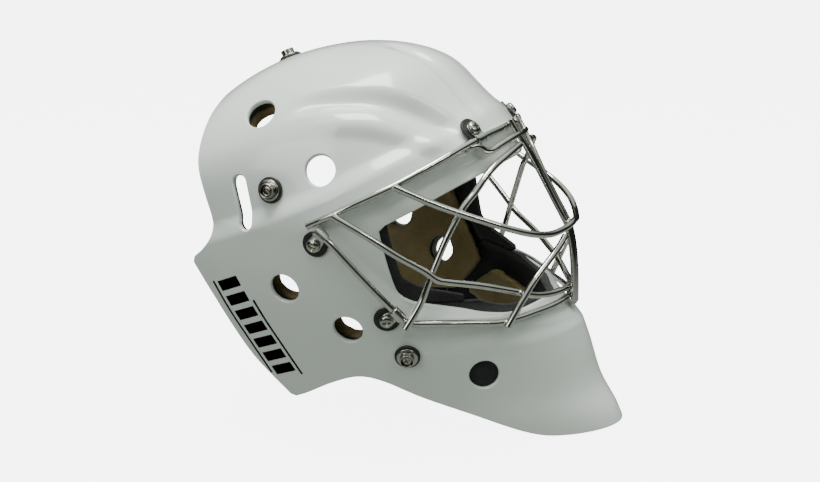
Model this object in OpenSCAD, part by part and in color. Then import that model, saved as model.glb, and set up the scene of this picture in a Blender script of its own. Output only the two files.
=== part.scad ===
// Ice hockey goalie mask. Front is -Y, up is +Z, the wearer's left is +X.
// The origin is the centre of the wearer's head, on the mid-plane.

/* [Shell] */
// Height of the crown above the origin
crown_z = 151; // [146:1:156]
// Height at which the shell is widest
widest_z = 34; // [30:1:38]
// Wall of the moulded shell
shell_t = 4; // [3:0.5:5]
// Height of the shoulder line along the side panels
shoulder_h = 5; // [0:0.5:7]
// Depth of the scoops above the brow
scoop_d = 5.5; // [0:0.5:7]
// Depth of the recess round the face opening
recess_d = 6; // [0:0.5:8]
// Diameter of the ventilation holes
vent_d = 21; // [16:1:24]

/* [Lining] */
// Thickness of the black foam
foam_t = 5; // [3:0.5:6]
// Thickness of the pads
pad_t = 9; // [6:0.5:12]
// Gap between glued layers
layer_gap = 0.4; // [0.3:0.1:0.8]

/* [Cage] */
// Diameter of the cage wire
wire_d = 4.8; // [4:0.1:5.5]
// Sides of the wire's section
wire_sides = 8; // [6:1:12]

/* [Fasteners] */
// Diameter of the rubber washers
washer_d = 18; // [14:1:20]
// Thickness of the rubber washers
washer_t = 2; // [1.5:0.5:3]
// Diameter of the screw shanks
screw_d = 5; // [4:0.5:5]
// Diameter of a strap stud's post
post_d = 10; // [8:0.5:12]
// Height of a strap stud's post
post_h = 4; // [3:0.5:6]
// Length of the strap slots
slot_l = 38; // [30:1:42]
// Width of the strap slots
slot_w = 10; // [6:0.5:10]

/* [Hidden] */
$fn = 48;
RIGHT = -1;
LEFT = 1;

// ---- the moulded surface -------------------------------------------------
// The mask's horizontal outline at each height:
// [z, front y, half width, y of the widest place, rear y, roundness of the nose]
OUTLINES = [
    [-150, -160, 68, 0, 150, 0.42],
    [-138, -168, 71, 2, 154, 0.42],
    [-125, -171, 75, 4, 158, 0.42],
    [-111, -166, 79, 6, 162, 0.42],
    [-90, -153, 86, 10, 168, 0.40],
    [-60, -142, 97, 14, 176, 0.35],
    [-31, -131, 107, 18, 182, 0.30],
    [0, -123, 114, 20, 186, 0.28],
    [34, -114, 118, 22, 188, 0.28]
];
bottom_z = OUTLINES[0][0];
crown_y = 20;

// Smooth curve through column c of a table at height z
function row_at(t, z, i = 0) = i >= len(t) - 2 || z < t[i + 1][0] ? i : row_at(t, z, i + 1);
function chord(t, c, i) = (t[i + 1][c] - t[i][c]) / (t[i + 1][0] - t[i][0]);
function slope(t, c, i) = i == 0 ? chord(t, c, 0)
    : i == len(t) - 1 ? chord(t, c, i - 1)
    : (chord(t, c, i - 1) + chord(t, c, i)) / 2;
function smooth(t, c, z) =
    let (i = row_at(t, z), h = t[i + 1][0] - t[i][0], s = (z - t[i][0]) / h)
    (2 * s ^ 3 - 3 * s ^ 2 + 1) * t[i][c] + (s ^ 3 - 2 * s ^ 2 + s) * h * slope(t, c, i)
    + (3 * s ^ 2 - 2 * s ^ 3) * t[i + 1][c] + (s ^ 3 - s ^ 2) * h * slope(t, c, i + 1);

// Height of level v: -1 is the bottom, 0 the widest place and 1 the crown
function level_z(v) = v >= 0 ? widest_z + (crown_z - widest_z) * sin(90 * v)
    : widest_z + v * (widest_z - bottom_z);
function level_of(z) = z >= widest_z ? asin((z - widest_z) / (crown_z - widest_z)) / 90
    : (z - widest_z) / (widest_z - bottom_z);

function cubic(a, b, c, d, s) =
    (1 - s) ^ 3 * a + 3 * (1 - s) ^ 2 * s * b + 3 * (1 - s) * s ^ 2 * c + s ^ 3 * d;

// Point of the plain surface at level v and angle a, 0 at the front and 90 at the wearer's left
function base(v, a) =
    let (
        z = level_z(v), t = min(z, widest_z),
        rise = max(v, 0) * 90, across = cos(rise), up = sin(rise), waist = sin(2 * rise),
        half = smooth(OUTLINES, 2, t) * across * (1 + 0.02 * waist),
        mid = smooth(OUTLINES, 3, t) * (1 - up) + crown_y * up,
        front = crown_y + (smooth(OUTLINES, 1, t) - crown_y) * across * (1 - 0.175 * waist),
        rear = crown_y + (smooth(OUTLINES, 4, t) - crown_y) * across * (1 - 0.1 * waist),
        nose = smooth(OUTLINES, 5, t), round = nose + (0.5 - nose) * min(1.6 * up, 1),
        f = min(abs(a) / 90, 1), r = max(abs(a) / 90 - 1, 0),
        x = r > 0 ? cubic(1, 1, 0.95, 0, r) : cubic(0, round, 1, 1, f),
        y = r > 0 ? cubic(mid, mid + 0.72 * (rear - mid), rear, rear, r)
            : cubic(front, front, (mid + front) / 2, mid, f)
    )
    [sign(a) * half * x, y, z];

// ---- relief of the surface, by place in the side view --------------------
function ease(s) = let (t = max(0, min(1, s))) t * t * (3 - 2 * t);
function hump(s) = ease(1 - abs(s));

// Height of the shoulder line, and of the scoop's bottom, above the y axis
function shoulder_z(y) = 54 - 0.5 * (y - 19) + 0.0008 * (y - 19) ^ 2;
function scoop_z(y) = 120 - (y > 3 ? 0.0034 : 0.0062) * (y - 3) ^ 2;
// How deep inside the outline of the cage a place is
function inside_cage(y, z) =
    min(0.88 * (39 + 0.536 * (27 - y) - z), -0.757 * (y - 22) + 0.653 * (z - 38), z + 29 - 0.06 * (y + 60));

function relief(p) =
    let (
        x = abs(p[0]), y = p[1], z = p[2],
        step = 0.9 * (z - shoulder_z(y)),
        valley = -shoulder_h * ease(step / 15) * (1 - ease((step - 15) / 45)) * ease((y + 80) / 50),
        scoop = -scoop_d * hump((z - scoop_z(y)) / 8.5) * ease((62 - y) / 50) * ease((y + 64) / 14),
        bulge = 2.6 * hump((z - scoop_z(y) + 14) / 10) * ease((40 - y) / 30) * ease((y + 64) / 20),
        rib = -2.5 * hump((x - 18 + 0.14 * (y + 5)) / 9) * ease((20 - y) / 30) * ease((z - 104) / 12),
        recess = -recess_d * ease(inside_cage(y, z) / 11),
        chin_step = -6 * ease((-95 - y) / 25) * ease((z + 40) / 11) * ease(-z / 10),
        crease = -2.5 * hump((z + 43 - 0.0012 * (y + 60) ^ 2) / 11) * ease((-15 - y) / 25)
    )
    valley + chin_step + scoop + bulge + rib + recess + crease;

// Outward direction of the plain surface
function unit(p) = p / norm(p);
function base_normal(v, a) = v > 0.995 ? [0, 0, 1]
    : unit(cross(base(v, a + 0.5) - base(v, a - 0.5), base(min(v + 0.004, 1), a) - base(v - 0.004, a)));
// Point of the moulded surface, moved out by d
function skin(v, a, d = 0) = let (p = base(v, a)) p + base_normal(v, a) * (relief(p) + d);
function skin_normal(v, a) =
    unit(cross(skin(v, a + 0.7) - skin(v, a - 0.7), skin(v + 0.006, a) - skin(v - 0.006, a)));

// Angle at which the surface at level v reaches y, on the wearer's left
function angle_at(v, y, lo = 0, hi = 180, n = 22) =
    n == 0 ? (lo + hi) / 2
    : let (m = (lo + hi) / 2) base(v, m)[1] < y ? angle_at(v, y, m, hi, n - 1) : angle_at(v, y, lo, m, n - 1);
// Level and angle of the place [y, z] of the side view, on the wearer's left
function spot(place) = let (v = level_of(place[1])) [v, angle_at(v, place[0])];

// ---- outlines in the side view, [y, z] ------------------------------------
// Smooth curve through points, each stretch in n steps
function spline(p, n = 4) = [
    for (i = [0:len(p) - 2], k = [0:n - 1])
        let (s = k / n, a = p[max(i - 1, 0)], b = p[i], c = p[i + 1], d = p[min(i + 2, len(p) - 1)])
            b + (c - a) / 2 * s + (a - 2.5 * b + 2 * c - d / 2) * s ^ 2 + (1.5 * (b - c) + (d - a) / 2) * s ^ 3,
    p[len(p) - 1]
];
BOTTOM_EDGE = [
    [-185, -118], [-139, -121], [-113, -118], [-73, -102.5], [-40, -90], [-14, -78.5], [4, -77],
    [25, -86], [50, -101], [60, -106]
];
JAW_EDGE = [[65, -105], [90, -73], [111, -27], [126, 0]];
REAR_EDGE = [[124, 5], [115, 12], [107, 22], [106, 34], [112, 54], [119, 74], [122, 98], [122, 120]];
TRIM = concat(spline(BOTTOM_EDGE), spline(JAW_EDGE), spline(REAR_EDGE), [[122, 170], [-220, 170], [-220, -118]]);
OPENING_TOP = [[-22, 40], [-40, 50], [-62, 63], [-88, 76], [-130, 88]];
OPENING_REAR = [[-38, -15], [-32, -11], [-27, -3], [-21, 22], [-18.5, 36]];
OPENING_BOTTOM = [[-160, -23], [-125, -23], [-109, -26.5], [-97, -27], [-82, -25], [-66, -21], [-46, -17]];
// The foam stops short of the opening above, and stands out past it below and behind
FOAM_TOP = [[-23.5, 40], [-40, 51.5], [-62, 64.5], [-88, 77.5], [-130, 89.5]];
FOAM_REAR = [[-43, -6], [-37, -2.5], [-32, 2], [-26.5, 23], [-24, 36]];
FOAM_BOTTOM = [[-160, -23], [-125, -23], [-112, -25.5], [-100, -24.5], [-84, -21], [-70, -14], [-49, -8]];
FOAM_OPENING = concat(spline(FOAM_TOP), [[-200, 89.5], [-200, -23]], spline(FOAM_BOTTOM), spline(FOAM_REAR));
OPENING = concat(spline(OPENING_TOP), [[-200, 88], [-200, -23]], spline(OPENING_BOTTOM), spline(OPENING_REAR));

module side_prism(outline, grow = 0) {
    rotate([90, 0, 90]) linear_extrude(300, center = true) offset(delta = grow) polygon(outline);
}

// Closed solid inside the moulded surface moved out by d
REAR_STEPS = [for (a = [-180:15:-150]) a];
ANGLES = concat(REAR_STEPS, [for (a = [-140:7:140]) a], [for (a = [150:15:165]) a]);
LEVELS = concat([for (v = [-1:1 / 17:-0.001]) v], [for (v = [0:1 / 14:0.99]) v]);
module skin_solid(d) {
    cols = len(ANGLES);
    rows = len(LEVELS);
    points = [for (v = LEVELS, a = ANGLES) skin(v, a, d)];
    sides = [
        for (i = [0:rows - 2], j = [0:cols - 1])
            let (k = (j + 1) % cols, p = i * cols + j, q = i * cols + k)
                each [[p, p + cols, q + cols], [p, q + cols, q]]
    ];
    crown = [for (j = [0:cols - 1]) [(rows - 1) * cols + j, rows * cols, (rows - 1) * cols + (j + 1) % cols]];
    base_fan = [for (j = [0:cols - 1]) [j, (j + 1) % cols, rows * cols + 1]];
    polyhedron(concat(points, [skin(1, 0, d), [0, 0, bottom_z - 2]]), concat(sides, crown, base_fan));
}
// Layer between two distances from the moulded surface
module skin_layer(outer, inner) {
    difference() {
        skin_solid(outer);
        skin_solid(inner);
    }
}

// ---- places on the surface -------------------------------------------------
VENTS = [[74, 108], [22, 77], [49, -9], [5, -36]];
CHIN_VENT = [-82.5, -70.5];
SLOT = [79, 50];
SLOT_TILT = 13;
REAR_STUD = [57, 61];
JAW_STUD = [-34, -54];
TOP_STUD_Y = 98;
BROW_CLIP = [-62, 97];
TEMPLE_CLIP = [21, 28];
JAW_CLIP = [-23, -24.5];

// Stands children on the moulded surface at a place, +Z outward and +Y upward
module stand(place, side, out = 0, normal = undef) {
    s = spot(place);
    n = is_undef(normal) ? skin_normal(s[0], s[1]) : normal;
    y = unit([0, 0, 1] - n[2] * n);
    x = cross(y, n);
    p = skin(s[0], s[1], 0) + n * out;
    mirror([side == RIGHT ? 1 : 0, 0, 0])
        multmatrix([[x[0], y[0], n[0], p[0]], [x[1], y[1], n[1], p[1]], [x[2], y[2], n[2], p[2]]])
            children();
}
// Level of the crown's mid-plane at y
function crown_level(y, lo = 0, hi = 1, n = 20) =
    n == 0 ? (lo + hi) / 2
    : let (m = (lo + hi) / 2) base(m, 180)[1] > y ? crown_level(y, m, hi, n - 1) : crown_level(y, lo, m, n - 1);
// Stands children on the mid-plane of the crown
module stand_on_crown() {
    v = crown_level(TOP_STUD_Y);
    p = base(v, 180);
    n = base_normal(v, 180);
    translate(p) rotate([-atan2(n[1], n[2]), 0, 0]) children();
}
module at_studs() {
    stand_on_crown() children();
    for (side = [RIGHT, LEFT], place = [REAR_STUD, JAW_STUD]) stand(place, side) children();
}
module at_clips() {
    for (side = [RIGHT, LEFT], place = [BROW_CLIP, TEMPLE_CLIP, JAW_CLIP])
        stand(place, side, 0, clip_normal(place)) children();
}

// ---- fasteners ---------------------------------------------------------------
barrel_d = screw_d + 2.4;
bore_gap = 0.1;
seat = 0.3;
module shell_bore() {
    translate([0, 0, -20]) cylinder(h = 40, d = barrel_d + 0.6);
}
module washer() {
    color("black") translate([0, 0, seat]) difference() {
        rotate_extrude() polygon([
            [0, 0], [washer_d / 2, 0], [washer_d / 2, washer_t - 0.7], [washer_d / 2 - 0.7, washer_t], [0, washer_t]
        ]);
        translate([0, 0, -1]) cylinder(h = washer_t + 2, d = screw_d + 1);
    }
}
// Pan-head Phillips screw whose head sits at height z
module screw(z, length) {
    head_d = screw_d * 1.9;
    head_h = screw_d * 0.6;
    color("silver") translate([0, 0, z]) difference() {
        union() {
            rotate_extrude() polygon([
                [0, 0], [head_d / 2, 0], [head_d / 2, head_h * 0.45], [head_d * 0.4, head_h * 0.8],
                [head_d * 0.24, head_h], [0, head_h]
            ]);
            translate([0, 0, -length]) cylinder(h = length + 0.1, d = screw_d);
        }
        for (turn = [0, 90]) rotate([0, 0, turn + 20]) translate([-head_d * 0.3, -0.6, head_h - 1.6])
            cube([head_d * 0.6, 1.2, 3]);
    }
}
module tee_nut() {
    flange_d = 14;
    color("silver") difference() {
        union() {
            translate([0, 0, -shell_t - 1.8]) cylinder(h = 1.4, d = flange_d);
            translate([0, 0, -shell_t - 1]) cylinder(h = shell_t + 0.2, d = barrel_d);
        }
        translate([0, 0, -20]) cylinder(h = 40, d = screw_d + 2 * bore_gap);
    }
}
module nut_pocket() {
    translate([0, 0, -shell_t - foam_t - 3]) cylinder(h = foam_t + 4, d = 16);
}

// ---- strap studs ---------------------------------------------------------------
// Snap stud: a dished flange and a straight post with a recess for its screw
stud_z = seat + washer_t + 0.05;
recess_floor = 1.6;
module stud() {
    color("gainsboro") translate([0, 0, stud_z]) difference() {
        union() {
            rotate_extrude() polygon([[0, 0], [7.4, 0], [7.4, 0.8], [6.4, 1.4], [0, 1.4]]);
            cylinder(h = 1.3 + post_h, d = post_d);
        }
        translate([0, 0, recess_floor]) cylinder(h = 10, d = post_d - 1.6);
        translate([0, 0, -1]) cylinder(h = 10, d = screw_d + 2 * bore_gap);
    }
}
module stud_screw() {
    translate([0, 0, stud_z]) color("silver") difference() {
        union() {
            translate([0, 0, recess_floor + 0.05]) cylinder(h = 2.6, d = post_d - 2.2);
            translate([0, 0, -10]) cylinder(h = 12, d = screw_d);
        }
        for (turn = [0, 90]) rotate([0, 0, turn + 35]) translate([-2.6, -0.5, recess_floor + 1.4])
            cube([5.2, 1, 3]);
    }
}

// ---- cage ------------------------------------------------------------------------
// Routes of the wires' centre lines, on the wearer's left or from the mid-plane to it
TOP_RIM = [
    [0, -76.5, 95.5], [15, -75.5, 95], [30, -72.5, 94], [45, -69, 92.5], [61, -63.5, 89.5], [87, -48, 79.5],
    [104, -30, 68.7], [115.5, -10.5, 58.8], [121.5, 6.5, 50], [123, 24.5, 41]
];
LOWER_RIM = [
    [0, -125, -27.5], [12, -123, -28], [25, -117.5, -29], [38, -109.5, -30], [50, -101.5, -31], [65, -91, -31],
    [79.5, -75, -28.5], [91, -58, -27], [98.5, -43, -26.5], [101.5, -37, -25], [104, -33, -20.5],
    [111, -21, -5], [119, -1, 19.5], [122, 8.5, 31], [123, 18, 39]
];
BROW_WIRE = [
    [0, -86, 90], [18, -83.5, 89], [32, -79, 86], [40, -75.5, 83.5], [46, -72.5, 84.5], [52, -68.5, 88], [58, -62.5, 87]
];
CENTRE_WIRE = [
    [8.5, -78.9, 100.5], [7.5, -85, 90.5], [5.5, -91.6, 80], [3.6, -98.6, 67.5],
    [2.8, -105.3, 55.5], [2.6, -112.4, 43], [2.6, -118.3, 33], [2.6, -122.9, 24], [2.6, -126.6, 8],
    [2.6, -128.8, -13], [2.6, -129.6, -32.5]
];
UPPER_WIRE = [
    [0, -126.2, 29], [8, -126, 28.6], [20, -123.5, 27.5], [38, -118.5, 28], [56, -110.5, 32],
    [70, -98.5, 38], [81, -82.5, 45], [95.5, -55, 56.5], [109, -31, 69.5]
];
MIDDLE_WIRE = [
    [0, -125, -20], [11, -123, -20], [25, -117, -19.5], [38.5, -110, -17], [50, -101.5, -12.5], [73, -80.5, -3],
    [90.5, -63, 3], [96, -57, 5.5], [100.5, -49.5, 12], [111, -34, 24], [120, -16, 38], [126.5, 5, 51]
];
EYE_WIRE = [
    [14, -88.5, 84], [26, -87, 82], [39, -84.5, 79], [50, -81, 75], [59, -77.5, 69], [67, -73, 60], [76, -67, 50],
    [86, -60, 32], [93, -52.5, 9], [98, -46, -12], [106, -38, -29]
];
NOSE_WIRE = [
    [5.5, -121.5, 18.5], [14, -120.5, 14.5], [27.5, -117.5, 8.5], [44, -111, -2.5], [53, -105.5, -14.5], [60, -100, -27],
    [63.5, -97, -34]
];
function across(p) = [-p[0], p[1], p[2]];
function whole(route) = concat([for (i = [len(route) - 1:-1:1]) across(route[i])], route);
function flipped(route) = [for (p = route) across(p)];

// Round wire along a smooth curve through a route's points
function tangent(p, i) = unit(p[min(i + 1, len(p) - 1)] - p[max(i - 1, 0)]);
module wire(route, steps = 3) {
    line = spline(route, steps);
    n = wire_sides;
    points = [
        for (i = [0:len(line) - 1])
            let (t = tangent(line, i), u = unit(cross(t, unit([0.21, 0.17, 1]))), w = cross(t, u))
                for (k = [0:n - 1]) line[i] + wire_d / 2 * (cos(360 * k / n) * u + sin(360 * k / n) * w)
    ];
    sides = [
        for (i = [0:len(line) - 2], k = [0:n - 1])
            let (a = i * n + k, b = i * n + (k + 1) % n) each [[a, b + n, b], [a, a + n, b + n]]
    ];
    color("silver") polyhedron(points, concat(
        sides, [[for (k = [0:n - 1]) k]], [[for (k = [n - 1:-1:0]) (len(line) - 1) * n + k]]
    ));
}

// ---- clips -------------------------------------------------------------------------
// Nearest sample of a rim wire to a place on the surface, and its direction
function nearest(line, p, i = 0, best = 0) =
    i >= len(line) ? best : nearest(line, p, i + 1, norm(line[i] - p) < norm(line[best] - p) ? i : best);
function clip_rim(place) = spline(place == BROW_CLIP ? TOP_RIM : LOWER_RIM, 16);
function clip_foot(place) = let (s = spot(place)) skin(s[0], s[1], 0);
function clip_wire(place) = let (line = clip_rim(place), i = nearest(line, clip_foot(place))) [line[i], tangent(line, i)];
function clip_normal(place) =
    let (s = spot(place), n = skin_normal(s[0], s[1]), t = clip_wire(place)[1]) unit(n - (n * t) * t);
clip_t = 1.2;
clip_w = 9;
clip_gap = 0.3;
module clip(place, side) {
    w = clip_wire(place);
    n = clip_normal(place);
    foot = clip_foot(place);
    reach = (w[0] - foot) - ((w[0] - foot) * w[1]) * w[1];
    x = unit(reach - (reach * n) * n);
    y = cross(n, x);
    gap = reach * x;
    height = reach * n;
    r = wire_d / 2 + clip_gap;
    color("silver") mirror([side == RIGHT ? 1 : 0, 0, 0])
        multmatrix([[x[0], y[0], n[0], foot[0]], [x[1], y[1], n[1], foot[1]], [x[2], y[2], n[2], foot[2]]])
            difference() {
                union() {
                    translate([0, 0, stud_z]) cylinder(h = clip_t, d = 10);
                    translate([0, -clip_w / 2, stud_z]) cube([gap - r, clip_w, clip_t]);
                    translate([gap - r - clip_t, -clip_w / 2, stud_z]) cube([clip_t, clip_w, max(height - stud_z, 1) + 0.2]);
                    rotate([90, 0, 0]) linear_extrude(clip_w, center = true) translate([gap, height]) difference() {
                        circle(r + clip_t);
                        circle(r);
                        polygon([[0, 0], [-20, 0], [-20, -20], [5, -20]]);
                    }
                }
                cylinder(h = 20, d = screw_d + 2 * bore_gap);
            }
}

// ---- shell and lining ------------------------------------------------------------
// Outlines of the lining's pieces in the side view
CROWN_REGION = [[-130, 82], [130, 82], [130, 170], [-130, 170]];
SIDE_REGION = [[-130, 81], [130, 81], [130, -60], [20, -110], [-20, -30], [-38, -18], [-130, -18]];
CHIN_REGION = [[-21, -31], [19, -111], [19, -140], [-200, -140], [-200, -18.4], [-38, -18.4], [-36, -20]];
CROWN_PAD = [[-30, 91], [114, 91], [114, 170], [-30, 170]];
FOREHEAD_PAD = [[-34, 89], [-34, 113], [-110, 113], [-110, 85], [-75, 85]];
SIDE_PAD = [
    [-2, 54], [-8, 18], [-18, -4], [-38, -36], [-27, -53], [-12, -68], [28, -74], [60, -84], [84, -54], [92, -20],
    [84, 5], [66, 26], [60, 52]
];
CHEEK_PAD = [[-30, -58], [-55, -37], [-84, -42], [-97, -46], [-93, -72], [-60, -78], [-22, -66]];
CHIN_PAD = [[-101, -48], [-150, -48], [-150, -84], [-97, -84]];
foam_out = -shell_t - layer_gap;
foam_in = foam_out - foam_t;
pad_out = foam_in - layer_gap;
pad_in = pad_out - pad_t;

module vent_bores(places, d) {
    for (side = [RIGHT, LEFT], place = places) stand(place, side, -25) cylinder(h = 50, d = d);
}
module slot_bore(margin = 0) {
    d = slot_w + 2 * margin;
    for (side = [RIGHT, LEFT]) stand(SLOT, side, -15) rotate([0, 0, -SLOT_TILT]) {
        for (end = [-1, 1]) translate([0, end * (slot_l - slot_w) / 2, 0]) cylinder(h = 30, d = d);
        translate([-d / 2, -(slot_l - slot_w) / 2, 0]) cube([d, slot_l - slot_w, 30]);
    }
}
module shell() {
    color("white") difference() {
        intersection() {
            skin_layer(0, -shell_t);
            side_prism(TRIM);
        }
        side_prism(OPENING);
        vent_bores(concat(VENTS, [CHIN_VENT]), vent_d);
        slot_bore();
        at_studs() shell_bore();
        at_clips() shell_bore();
    }
}
module foam(region) {
    difference() {
        intersection() {
            skin_layer(foam_out, foam_in);
            side_prism(TRIM, -3);
            side_prism(region);
        }
        side_prism(FOAM_OPENING);
        vent_bores(VENTS, vent_d + 6);
        slot_bore(3);
        at_studs() nut_pocket();
        at_clips() nut_pocket();
    }
}
module half_space(side) {
    translate([side == RIGHT ? -300 : 0.2, -300, -300]) cube([299.8, 600, 600]);
}
module side_piece(side) {
    intersection() {
        children();
        half_space(side);
    }
}
module crown_foam() {
    color("dimgray") foam(CROWN_REGION);
}
module side_foam(side) {
    color("dimgray") side_piece(side) foam(SIDE_REGION);
}
module chin_foam() {
    color("dimgray") foam(CHIN_REGION);
}
module pad(outline) {
    color("tan") difference() {
        intersection() {
            skin_layer(pad_out, pad_in);
            side_prism(outline);
        }
        vent_bores(VENTS, vent_d + 3);
    }
}
module crown_pad() {
    pad(CROWN_PAD);
}
module forehead_pad() {
    pad(FOREHEAD_PAD);
}
module side_pad(side) {
    side_piece(side) pad(SIDE_PAD);
}
module cheek_pad(side) {
    side_piece(side) pad(CHEEK_PAD);
}
module chin_pad() {
    pad(CHIN_PAD);
}

screw_tail = shell_t + 3;
module clip_screws() {
    at_clips() screw(stud_z + clip_t + 0.05, stud_z + clip_t + screw_tail);
}
module stud_screws() {
    at_studs() stud_screw();
}

shell();
crown_foam();
side_foam(RIGHT);  // side_foam_right
side_foam(LEFT);  // side_foam_left
chin_foam();
crown_pad();
forehead_pad();
side_pad(RIGHT);  // side_pad_right
side_pad(LEFT);  // side_pad_left
cheek_pad(RIGHT);  // cheek_pad_right
cheek_pad(LEFT);  // cheek_pad_left
chin_pad();
wire(whole(TOP_RIM));  // cage_top_rim
wire(whole(LOWER_RIM));  // cage_lower_rim
wire(whole(BROW_WIRE));  // cage_brow_wire
wire(flipped(CENTRE_WIRE));  // cage_centre_wire_right
wire(CENTRE_WIRE);  // cage_centre_wire_left
wire(whole(UPPER_WIRE));  // cage_upper_wire
wire(whole(MIDDLE_WIRE));  // cage_middle_wire
wire(flipped(EYE_WIRE));  // cage_eye_wire_right
wire(EYE_WIRE);  // cage_eye_wire_left
wire(flipped(NOSE_WIRE));  // cage_nose_wire_right
wire(NOSE_WIRE);  // cage_nose_wire_left
clip(BROW_CLIP, RIGHT);  // brow_clip_right
clip(BROW_CLIP, LEFT);  // brow_clip_left
clip(TEMPLE_CLIP, RIGHT);  // temple_clip_right
clip(TEMPLE_CLIP, LEFT);  // temple_clip_left
clip(JAW_CLIP, RIGHT);  // jaw_clip_right
clip(JAW_CLIP, LEFT);  // jaw_clip_left
at_clips() washer();  // clip_washers
clip_screws();
at_clips() tee_nut();  // clip_tee_nuts
stand_on_crown() stud();  // top_stud
stand(REAR_STUD, RIGHT) stud();  // rear_stud_right
stand(REAR_STUD, LEFT) stud();  // rear_stud_left
stand(JAW_STUD, RIGHT) stud();  // jaw_stud_right
stand(JAW_STUD, LEFT) stud();  // jaw_stud_left
at_studs() washer();  // stud_washers
stud_screws();
at_studs() tee_nut();  // stud_tee_nuts
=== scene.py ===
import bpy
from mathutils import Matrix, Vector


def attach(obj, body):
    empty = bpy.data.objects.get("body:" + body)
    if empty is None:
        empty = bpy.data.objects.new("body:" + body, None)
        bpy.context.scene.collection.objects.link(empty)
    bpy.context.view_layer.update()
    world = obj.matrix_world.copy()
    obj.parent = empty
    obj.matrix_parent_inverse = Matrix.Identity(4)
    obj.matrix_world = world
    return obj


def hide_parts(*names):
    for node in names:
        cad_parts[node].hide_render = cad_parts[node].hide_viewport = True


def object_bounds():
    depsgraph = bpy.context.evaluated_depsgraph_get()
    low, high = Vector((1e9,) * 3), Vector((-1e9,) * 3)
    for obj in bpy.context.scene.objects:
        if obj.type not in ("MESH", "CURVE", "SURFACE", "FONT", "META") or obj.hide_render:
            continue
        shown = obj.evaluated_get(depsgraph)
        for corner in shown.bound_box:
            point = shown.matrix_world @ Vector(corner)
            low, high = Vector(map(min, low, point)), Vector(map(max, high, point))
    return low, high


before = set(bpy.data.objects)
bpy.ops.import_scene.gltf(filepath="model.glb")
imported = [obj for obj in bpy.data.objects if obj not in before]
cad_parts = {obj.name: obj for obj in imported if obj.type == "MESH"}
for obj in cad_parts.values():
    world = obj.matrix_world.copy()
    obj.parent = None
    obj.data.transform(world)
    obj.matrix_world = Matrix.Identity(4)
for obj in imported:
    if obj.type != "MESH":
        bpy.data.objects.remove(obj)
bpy.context.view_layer.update()  # noqa: E401, E402, E702

# Looks of an ice hockey goalie mask, built round its CAD frame.
# Lengths in this script are in millimetres until MM turns them into metres for Blender.
import math

import bpy
import numpy as np
from mathutils import Vector

MM = 0.001
RIGHT, LEFT = -1, 1

# ---- sizes, as in the CAD part ---------------------------------------------------
CROWN_Z, WIDEST_Z, CROWN_Y = 151, 34, 20
SHELL_T, SHOULDER_H, SCOOP_D, RECESS_D, VENT_D = 4, 5, 5.5, 6, 21
FOAM_T, PAD_T, LAYER_GAP, HALF_GAP = 5, 9, 0.4, 0.2
WIRE_D = 4.8
WASHER_D, WASHER_T, SCREW_D, POST_D, POST_H = 18, 2, 5, 10, 4
SLOT_L, SLOT_W, SLOT_TILT = 38, 10, 13
SEAT = 0.3
STUD_Z = SEAT + WASHER_T + 0.05

# ---- the moulded surface -----------------------------------------------------------
# The mask's horizontal outline at each height:
# z, front y, half width, y of the widest place, rear y, roundness of the nose
OUTLINES = np.array([
    (-150, -160, 68, 0, 150, 0.42), (-138, -168, 71, 2, 154, 0.42), (-125, -171, 75, 4, 158, 0.42),
    (-111, -166, 79, 6, 162, 0.42), (-90, -153, 86, 10, 168, 0.40), (-60, -142, 97, 14, 176, 0.35),
    (-31, -131, 107, 18, 182, 0.30), (0, -123, 114, 20, 186, 0.28), (34, -114, 118, 22, 188, 0.28),
], float)
BOTTOM_Z = OUTLINES[0, 0]


def smooth(column, z):
    """Smooth curve through a column of OUTLINES at heights z."""
    zs, ys = OUTLINES[:, 0], OUTLINES[:, column]
    chords = np.diff(ys) / np.diff(zs)
    slopes = np.concatenate([chords[:1], (chords[1:] + chords[:-1]) / 2, chords[-1:]])
    i = np.clip(np.searchsorted(zs, z, side="right") - 1, 0, len(zs) - 2)
    h = zs[i + 1] - zs[i]
    s = (z - zs[i]) / h
    return (
        (2 * s**3 - 3 * s**2 + 1) * ys[i] + (s**3 - 2 * s**2 + s) * h * slopes[i]
        + (3 * s**2 - 2 * s**3) * ys[i + 1] + (s**3 - s**2) * h * slopes[i + 1]
    )


def level_z(v):
    """Height of level v: -1 is the bottom, 0 the widest place and 1 the crown."""
    dome = WIDEST_Z + (CROWN_Z - WIDEST_Z) * np.sin(np.pi / 2 * np.clip(v, 0, 1))
    return np.where(v >= 0, dome, WIDEST_Z + v * (WIDEST_Z - BOTTOM_Z))


def level_of(z):
    if z >= WIDEST_Z:
        return math.asin((z - WIDEST_Z) / (CROWN_Z - WIDEST_Z)) / (math.pi / 2)
    return (z - WIDEST_Z) / (WIDEST_Z - BOTTOM_Z)


def cubic(a, b, c, d, s):
    return (1 - s) ** 3 * a + 3 * (1 - s) ** 2 * s * b + 3 * (1 - s) * s**2 * c + s**3 * d


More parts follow.
